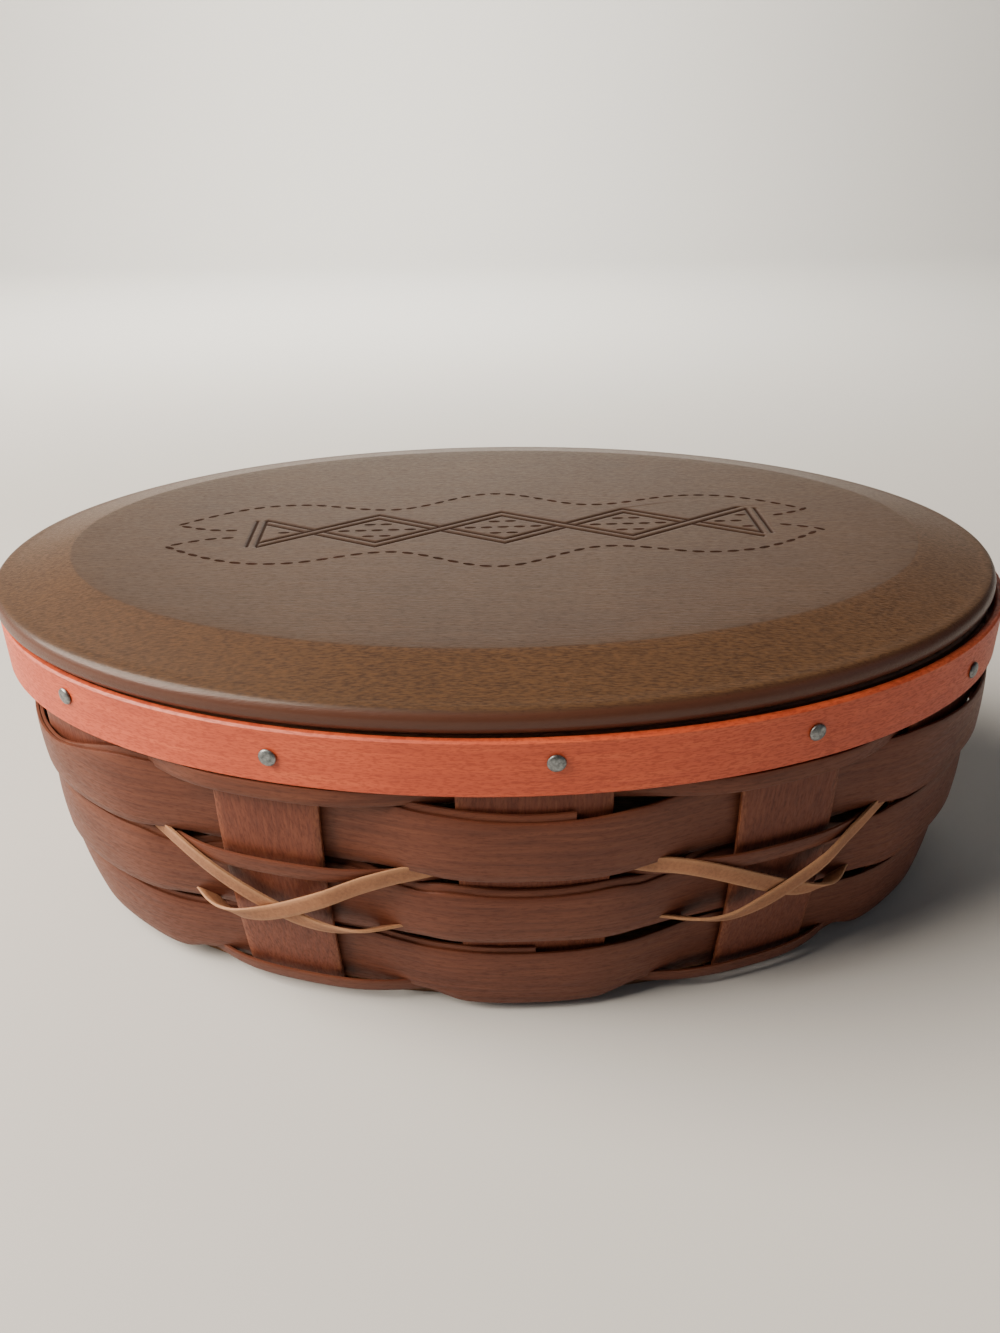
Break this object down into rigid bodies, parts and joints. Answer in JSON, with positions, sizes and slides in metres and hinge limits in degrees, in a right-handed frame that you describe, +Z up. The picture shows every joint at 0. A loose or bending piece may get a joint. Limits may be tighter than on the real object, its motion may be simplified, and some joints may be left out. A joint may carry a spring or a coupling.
{
  "type": "lidded basket",
  "caption": "Oval basket woven from wide and narrow wooden splints, with crossed leather laces, a tacked stained rim band and a loose bevelled wooden lid.",
  "frame": {"origin": "middle of the rest face under the base board", "axes": "+X along the length, front faces -Y, +Z up"},
  "size_m": [0.306, 0.2136, 0.109],
  "materials": {
    "splint_wood": "satin",
    "plain_wood": "satin",
    "stained_wood": "satin",
    "lid_wood": "satin",
    "lace_leather": "matte",
    "tack_steel": "satin"
  },
  "bodies": {
    "basket": {"base_board": "plain_wood", "upright_front": "splint_wood", "upright_front_right": "splint_wood", "upright_right_front": "splint_wood", "upright_right": "splint_wood", "upright_right_back": "splint_wood", "upright_back_right": "splint_wood", "upright_back": "splint_wood", "upright_back_left": "splint_wood", "upright_left_back": "splint_wood", "upright_left": "splint_wood", "upright_left_front": "splint_wood", "upright_front_left": "splint_wood", "wide_weaver_top": "splint_wood", "wide_weaver_middle": "splint_wood", "wide_weaver_bottom": "splint_wood", "narrow_weaver_top": "splint_wood", "narrow_weaver_middle": "splint_wood", "narrow_weaver_bottom": "splint_wood", "lace_first": "lace_leather", "lace_second": "lace_leather", "outer_band": "stained_wood", "inner_band": "plain_wood", "rim_tacks": "tack_steel"},
    "lid": {"lid": "lid_wood"}
  },
  "joints": [
    {"name": "lid_lift", "type": "slide", "parent": "basket", "child": "lid", "axis": [0, 0, 1], "range_m": [0, 0.15]}
  ]
}
